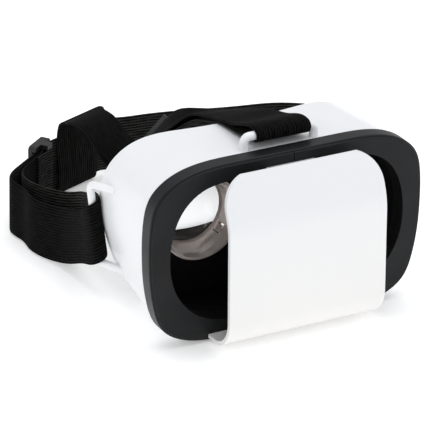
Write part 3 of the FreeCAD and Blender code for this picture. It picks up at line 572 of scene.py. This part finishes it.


# ---- the harness: its bars, runs and places, in mm ----

LUG_TOP_Z, LUG_LOW_Z = 66.0, 22.4
LUG_TOP_X, LUG_LOW_X = 77.0, 70.8
LUG_DEPTH = 60.0
LOOP_Z, LOOP_DEPTH = 97.3, 14.0
LUG_ROD, LOOP_ROD, CENTRE_BAR = 1.9, 2.2, 1.3
BAR_GAP, SEWN_GAP = 0.2, 0.1         # between a bar and the webbing round it
LUG_WRAP = LUG_ROD + BAR_GAP + WEB_T / 2
LOOP_WRAP = LOOP_ROD + BAR_GAP + WEB_T / 2
BAR_WRAP = CENTRE_BAR + SEWN_GAP + WEB_T / 2
LIFT, LOOP_LIFT = 3.0, 2.4           # z of the lower edge on the adjusters' runs and in the tail's loop
BAR_DROP = 3.7                       # centre bar's axis below the webbing's middle plane
STUB_END = 12.0                      # length of the sewn end behind a centre bar
LEFT_ADJUSTER, RIGHT_ADJUSTER = 29.0, 19.8      # from a run's end near the lug to the adjuster's middle

# level runs: x and depth of each end
LEFT_RUN = ((-71.0, 156.0), (-40.4, 179.0))
LOOP_RUN = ((-34.5, 182.4), (-4.7, 194.2))
RIGHT_RUN = ((113.4, 147.0), (108.2, 109.4))

# upright stretches: x, depth and z of the lower edge, and how far the upper edge leans in x
LEFT_INNER = [(-66.0, 155.1, 2.9, 0), (-68.3, 152.4, 2.9, 0), (-70.1, 147, 2.3, 0),
              (-68, 139, 1.4, 0), (-64, 130, 1.4, 0), (-60.3, 118, 4.2, -0.8),
              (-60, 105, 9.8, -2), (-62.3, 90, 17.1, -3.5), (-65, 75, 24.0, -4.6)]
LEFT_OUTER = [(-72.4, 75, 15.2, -1.4), (-71.4, 90, 8.2, 0.6), (-71.6, 105, 2.6, 1.6),
              (-74.2, 118, 0.5, 0.6), (-75.6, 129, 0.3, 0), (-74.6, 139, 0.3, 0),
              (-76, 148.5, 0.6, 0), (-74.6, 153.6, 1.4, 0)]
REAR = [(8, 195.4, 0.8, 0), (22, 194.2, 0.3, 0), (36, 191.6, 0.3, 0), (50, 188, 0.3, 0),
        (64, 184, 0.3, 0), (78, 180.8, 0.3, 0), (90, 178, 0.3, 0), (99, 174, 0.3, 0),
        (106.5, 168, 0.6, 0), (111.4, 159, 1.6, 0)]
RIGHT_OUTER = [(106.2, 102, 3.6, 0), (100.5, 92.5, 6, 1.2), (91.5, 82, 11.5, 3), (81.5, 70.5, 18.5, 4.6)]
RIGHT_INNER = [(73.6, 70.5, 20.5, 4.6), (84, 84.5, 13, 3), (94, 95.5, 6.5, 1.4), (102.6, 103.2, 3.2, 0)]

# heights of the webbing's edges where its inner layer meets a lug's bar; it crosses the bar on a slant
LEFT_FOLD, RIGHT_FOLD = (26.0, 58.6), (24.4, 56.6)
LEFT_SLIP = 3.9                      # how far the webbing goes down the left bar on its way round
LEFT_SLACK = 0.4                     # how far the left fold hangs off the bar

# top strap: its adjuster's place and directions, and the ends of the straight run there, from that place
TOP_CENTRE = (-12.5, 125.5, 46.5)
TOP_ALONG = unit((-0.06, 0.65, -0.758))
TOP_ACROSS = (0.83, 0.45, 0.32)
TOP_RUN = (-15.0, 12.5)
TOP_RUN_PAIRS = 14

# slanted stretches: x, depth and z of the middle, and the direction of the width
TOP_LOWER = [((-9.2, 107.5, 61.6), (0.86, 0.44, 0.24)), ((-5.6, 98.5, 66.4), (0.92, 0.38, 0.08)),
             ((-2.0, 89, 72.2), (0.96, 0.26, -0.02)), ((0.6, 79.5, 77.6), (0.99, 0.1, -0.06)),
             ((1.4, 67, 83.6), (1, 0, -0.04)), ((1.8, 58, 86.9), (1, 0, 0)),
             ((2, 50.5, 89.5), (1, 0, 0)), ((2.2, 36, 91.2), (1, 0, 0))]
TOP_UPPER = [((2.2, 33, 95.4), (1, 0, 0)), ((2, 50.5, 91.1), (1, 0, 0)),
             ((1.8, 58, 88.7), (1, 0, -0.02)), ((1.4, 67, 85.7), (1, 0, -0.08)),
             ((0.6, 79.7, 80.5), (0.98, 0.1, -0.12)), ((-1.8, 90, 75.1), (0.95, 0.28, -0.04)),
             ((-5.2, 99.5, 69.7), (0.91, 0.4, 0.1)), ((-9.6, 108.5, 64.7), (0.86, 0.44, 0.24))]
TAIL = [((-17.4, 141.5, 37.4), (0.87, 0.46, 0.06)), ((-19.9, 151, 42.2), (0.87, 0.46, -0.12)),
        ((-20.6, 163.6, 46.3), (0.89, 0.44, -0.13)), ((-20.7, 176.3, 44.4), (0.92, 0.38, -0.05))]
FOLD_X = 2.2                         # the fold's middle on the top loop's bar

# the tail's loop round the rear band: x and depth of its front ply, its width's direction,
# and its outline from the side, as distance back and z
PANEL = (-20.7, 185.5)
LOOP_ACROSS = unit((0.93, 0.37, 0))
LOOP_SIDE = [(-3.4, 42.4), (-1.1, 41.4), (0, 39.2), (0, 20), (0, 3.2), (0.65, 1.5), (2.2, 0.8),
             (3.75, 1.5), (4.4, 3.2), (4.4, 14), (4.4, 26)]


def lug_bar(side, z):
    """Point on a lug's bar; side is -1 on the left and 1 on the right."""
    x = LUG_LOW_X + (LUG_TOP_X - LUG_LOW_X) * (z - LUG_LOW_Z) / (LUG_TOP_Z - LUG_LOW_Z)
    return (side * x, at(LUG_DEPTH), z)


def level_run(run, lift):
    """Edge pairs of a straight upright run, its lower edge at height lift."""
    return straight(standing([(x, depth, lift, 0) for x, depth in run]))


def adjuster(name):
    """Centre, direction away from the lug or loop, outward normal and width direction, in mm."""
    up = np.array((0.0, 0.0, 1.0))
    if name == "top":
        centre, along = np.array((TOP_CENTRE[0], at(TOP_CENTRE[1]), TOP_CENTRE[2])), TOP_ALONG
        out = unit(np.cross(TOP_ACROSS, TOP_ALONG))
        return centre, along, out, unit(TOP_ACROSS)
    if name == "left":
        start, end, reach, turn = LEFT_RUN[0], LEFT_RUN[1], LEFT_ADJUSTER, 1
    else:
        start, end, reach, turn = RIGHT_RUN[1], RIGHT_RUN[0], RIGHT_ADJUSTER, -1
    along = unit((end[0] - start[0], end[1] - start[1], 0))
    centre = np.array((start[0], at(start[1]), LIFT + WEB_W / 2)) + along * reach
    return centre, along, np.array((-along[1], along[0], 0)) * turn, up


SEAM_GAP = 0.04          # half the gap between the two sewn layers
THROAT = 0.35            # how far each of them spreads next to the bar
CUT_BACK = 0.3           # how far short of STUB_END the webbing is cut


def stub(name):
    """Edge pairs of the sewn end: from the cut end, round the centre bar and back on itself.

    Each leg is drawn from the side, as distance along and height over the bar's axis."""
    centre, along, out, across = adjuster(name)
    layer = WEB_T / 2 + SEAM_GAP
    legs = [(-STUB_END + CUT_BACK, layer), (-9.0, layer), (-6.5, layer), (-4.2, layer + THROAT)]
    side = [(x, -y) for x, y in legs]
    side += [(BAR_WRAP * math.cos(math.radians(a)), BAR_WRAP * math.sin(math.radians(a)))
             for a in range(-120, 121, 20)]
    side += legs[::-1]
    pairs = []
    for x, y in side:
        middle = centre + along * x + out * (y - BAR_DROP)
        pairs.append(np.array([middle - across * WEB_W / 2, middle + across * WEB_W / 2]))
    return pairs


def inner_layer(name, route, fold, paints):
    """Under layer from its fold on the lug or loop back to the adjuster, with the sewn end."""
    end = stub(name)
    pairs = smooth(end, step=0.8)[:-1]
    pairs += smooth(end[-2:] + route + fold[:2], 1, 1)
    piece = webbing(name + "_inner_webbing", pairs, paints["webbing"])
    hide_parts("sewn_end_" + name)
    centre, along, out, across = adjuster(name)
    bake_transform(piece)
    return piece


def top_point(along):
    """Point on the top strap's straight run, at a distance from its adjuster."""
    return tuple(np.array(TOP_CENTRE) + TOP_ALONG * along)


def make_harness(paints):
    """The head band and top strap, each with the layer that lies under it."""
    left_bar = [Vector(lug_bar(-1, z)) + Vector((LEFT_SLACK, 0, 0)) for z in LEFT_FOLD]
    right_bar = [lug_bar(1, z) for z in RIGHT_FOLD]
    left_fold = wrap(*left_bar, LUG_WRAP + LEFT_SLACK, (1, 0, 0), -180, LEFT_SLIP)
    right_fold = wrap(*right_bar, LUG_WRAP, (0.8, -0.6, 0), -150)
    left_run, loop_run = level_run(LEFT_RUN, LIFT), level_run(LOOP_RUN, LOOP_LIFT)
    right_run = level_run(RIGHT_RUN, LIFT)
    pairs = list(left_fold)
    pairs += smooth(left_fold[-2:] + standing(LEFT_OUTER) + left_run[:2], 1, 1)[1:-1]
    pairs += left_run
    pairs += smooth(left_run[-2:] + loop_run[:2], 1, 1)[1:-1]
    pairs += loop_run
    pairs += smooth(loop_run[-2:] + standing(REAR) + right_run[:2], 1, 1)[1:-1]
    pairs += right_run
    pairs += smooth(right_run[-2:] + standing(RIGHT_OUTER) + right_fold[:2], 1, 1)[1:-1]
    pairs += right_fold
    band = webbing("head_webbing", pairs, paints["webbing"], "headset")
    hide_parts("head_band")
    inner_layer("left", standing(LEFT_INNER), left_fold, paints)
    inner_layer("right", standing(RIGHT_INNER)[::-1], right_fold[::-1],
                paints)

    bar = [(FOLD_X + s * WEB_W / 2, at(LOOP_DEPTH), LOOP_Z) for s in (-1, 1)]
    fold = wrap(*bar, LOOP_WRAP, (0, 0, -1), -180)
    run = crossing([(top_point(along), TOP_ACROSS) for along in np.linspace(*TOP_RUN, TOP_RUN_PAIRS)])
    deep = np.array((-LOOP_ACROSS[1], LOOP_ACROSS[0], 0))
    loop = crossing([((PANEL[0] + deep[0] * back, PANEL[1] + deep[1] * back, z), LOOP_ACROSS)
                     for back, z in LOOP_SIDE])
    pairs = list(fold)
    pairs += smooth(fold[-2:] + crossing(TOP_UPPER) + run[:2], 1, 1)[1:-1]
    pairs += run
    pairs += smooth(run[-2:] + crossing(TAIL) + loop, 1, 0, 1.2)[1:]
    strap = webbing("top_webbing", pairs, paints["webbing"], "headset", OUTER_RIB)
    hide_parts("top_strap")
    inner_layer("top", crossing(TOP_LOWER), fold, paints)


# ---- tubes, springs and stitches ----

def tube(points, radius, sides=8):
    """Closed tube mesh along points: its vertices and faces."""
    points = np.array(points, float)
    count = len(points)
    tangents = [heading(points, i) for i in range(count)]
    side = unit(np.cross(tangents[0], (0.123, 0.31, 0.94)))
    vertices = []
    for i in range(count):
        side = unit(side - tangents[i] * side.dot(tangents[i]))
        other = np.cross(tangents[i], side)
        for k in range(sides):
            angle = 2 * math.pi * k / sides
            vertices.append(points[i] + radius * (math.cos(angle) * side + math.sin(angle) * other))
    faces = []
    for i in range(count - 1):
        for k in range(sides):
            n = (k + 1) % sides
            faces.append((i * sides + k, i * sides + n, (i + 1) * sides + n, (i + 1) * sides + k))
    faces.append(tuple(range(sides))[::-1])
    faces.append(tuple((count - 1) * sides + k for k in range(sides)))
    return vertices, faces


COIL_R, WIRE_R, HOOK_R = 1.02, 0.27, 1.12
TURNS, TURN_STEPS = 15, 14
HOOK_ANGLES = range(-150, 91, 15)


def spring_hook(x, z, pin, side):
    """Points round a pin, from the hook's open end to the coil.

    Side is 1 at the moving pin and -1 at the fixed one."""
    points = []
    for angle in HOOK_ANGLES:
        a = math.radians(angle)
        points.append((x + side * HOOK_R * math.cos(a + math.pi / 2),
                       pin + side * HOOK_R * math.sin(a - math.pi / 2), z))
    return points


def spring_coil(name, x, z, moving_pin, fixed_pin, start, end, paints):
    """Tension spring: close coil with an open hook round the pin at each end.

    The pins, start and end are depths."""
    path = spring_hook(x, z, moving_pin, 1)
    steps = TURNS * TURN_STEPS
    for i in range(steps + 1):
        a = 2 * math.pi * TURNS * i / steps
        depth = start + (end - start) * i / steps
        path.append((x + COIL_R * math.sin(a), depth, z + COIL_R * math.cos(a)))
    path += spring_hook(x, z, fixed_pin, -1)[::-1]
    path = [(px, at(depth), pz) for px, depth, pz in path]
    vertices, faces = tube(path, WIRE_R)
    piece = new_piece(name + "_coil", np.array(vertices) * MM, faces, paints["steel"])
    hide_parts(name)
    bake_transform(piece)


def make_springs(paints):
    for side, name in ((-1, "lower_spring_left"), (1, "lower_spring_right")):
        spring_coil(name, side * 22.0, 7.45, moving_pin=26.0, fixed_pin=39.6, start=28.4, end=38.4,
                    paints=paints)
    spring_coil("upper_spring", 0.0, 86.0, moving_pin=24.0, fixed_pin=37.8, start=26.4, end=36.6,
                paints=paints)


STITCH, STITCH_GAP, THREAD_R = 2.0, 0.7, 0.28
ARCH, SUNK = 0.22, 0.1               # rise of a stitch's middle, and depth of its ends in the cloth
SEAM_BACK = 9.0                      # from a centre bar to the middle of its box stitch
SEAM_HALF_ALONG, SEAM_HALF_ACROSS = 2.0, 12.4
SEAM_RISE = WEB_T + 0.02


def stitch_line(start, end, normal):
    """Stitches along a line on a surface, each a short arched thread: list of point runs."""
    start, end = np.array(start, float), np.array(end, float)
    length = np.linalg.norm(end - start)
    count = max(1, int(round(length / (STITCH + STITCH_GAP))))
    along = (end - start) / count
    runs = []
    for i in range(count):
        first = start + along * i
        last = first + along * (STITCH / (STITCH + STITCH_GAP))
        runs.append([first + (last - first) * t + normal * (ARCH * math.sin(math.pi * t) - SUNK)
                     for t in (0, 0.25, 0.5, 0.75, 1)])
    return runs


def stitches(name, lines, body, paints):
    """One piece of thread work from lines of start, end and outward normal."""
    vertices, faces = [], []
    for start, end, normal in lines:
        for run in stitch_line(start, end, np.array(normal, float)):
            more, polygons = tube(run, THREAD_R, 6)
            faces += [tuple(k + len(vertices) for k in polygon) for polygon in polygons]
            vertices += more
    piece = new_piece(name, np.array(vertices) * MM, faces, paints["thread"])
    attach(piece, body)


def box_stitch(centre, along, across, normal, half_along, half_across):
    """A sewn rectangle with a cross in it, as stitch lines."""
    corner = {(i, j): centre + along * half_along * i + across * half_across * j
              for i in (-1, 1) for j in (-1, 1)}
    ends = [((-1, -1), (-1, 1)), ((1, -1), (1, 1)), ((-1, -1), (1, -1)), ((-1, 1), (1, 1)),
            ((-1, -1), (1, 1)), ((-1, 1), (1, -1))]
    return [(corner[a], corner[b], normal) for a, b in ends]


def sew_stub(name, paints):
    """Box stitching on both faces of a sewn end."""
    centre, along, out, across = adjuster(name)
    middle = centre - along * SEAM_BACK - out * BAR_DROP
    lines = []
    for side in (-1, 1):
        lines += box_stitch(middle + out * side * SEAM_RISE, along, across, out * side,
                            SEAM_HALF_ALONG, SEAM_HALF_ACROSS)
    stitches("sewn_thread_" + name, lines, "adjuster_" + name, paints)


# ---- foam ----

PUFF_PRESSURE, PUFF_FRAMES = 4.0, 20
PUFF_CAP = 0.0006


def settle(piece, voxel, rounds):
    """Even quad skin over the piece, with its edges softened."""
    remesh = piece.modifiers.new("skin", "REMESH")
    remesh.mode = "VOXEL"
    remesh.voxel_size = voxel
    graph = bpy.context.evaluated_depsgraph_get()
    piece.data = bpy.data.meshes.new_from_object(piece.evaluated_get(graph))
    piece.modifiers.clear()
    mesh = bmesh.new()
    mesh.from_mesh(piece.data)
    for _ in range(rounds):
        bmesh.ops.smooth_vert(mesh, verts=mesh.verts, factor=0.5, use_axis_x=True, use_axis_y=True,
                              use_axis_z=True)
    mesh.to_mesh(piece.data)
    mesh.free()


def puff(piece):
    """Cloth pressure swells the skin; no point moves further than PUFF_CAP."""
    scene = bpy.context.scene
    rest = np.array([v.co for v in piece.data.vertices])
    cloth = piece.modifiers.new("puff", "CLOTH")
    cloth.settings.use_pressure = True
    cloth.settings.uniform_pressure_force = PUFF_PRESSURE
    cloth.settings.effector_weights.gravity = 0
    cloth.settings.quality = 4
    for frame_number in range(1, PUFF_FRAMES + 1):
        scene.frame_set(frame_number)
    graph = bpy.context.evaluated_depsgraph_get()
    moved = np.array([v.co for v in piece.evaluated_get(graph).data.vertices])
    piece.modifiers.clear()
    scene.frame_set(1)
    shift = moved - rest
    size = np.linalg.norm(shift, axis=1)
    shift *= (PUFF_CAP * np.tanh(size / PUFF_CAP) / np.maximum(size, 1e-9))[:, None]
    piece.data.vertices.foreach_set("co", (rest + shift).astype(np.float32).ravel())
    piece.data.update()


def foam_piece(name, node, body, voxel, rounds, paints):
    """Foam cut to a CAD node's form, its edges softened and its faces crowned by cloth pressure."""
    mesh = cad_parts[node].data.copy()
    piece = bpy.data.objects.new(name, mesh)
    bpy.context.collection.objects.link(piece)
    settle(piece, voxel, rounds)
    puff(piece)
    piece.data.materials.clear()
    piece.data.materials.append(paints["foam"])
    piece.data.polygons.foreach_set("use_smooth", [True] * len(piece.data.polygons))
    smoother = piece.modifiers.new("smoother", "SUBSURF")
    smoother.levels = smoother.render_levels = 1
    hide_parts(node)
    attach(piece, body)


def make_foam_pieces(paints):
    foam_piece("face_foam", "face_cushion", "headset", voxel=0.0011, rounds=4, paints=paints)
    foam_piece("clamp_foam", "clamp_pad", "clamp", voxel=0.0014, rounds=3, paints=paints)


make_camera()
make_studio()
paints = make_materials()
finish_cad_nodes(paints)
make_harness(paints)
for harness_end in ("left", "right", "top"):
    sew_stub(harness_end, paints)
make_springs(paints)
make_foam_pieces(paints)
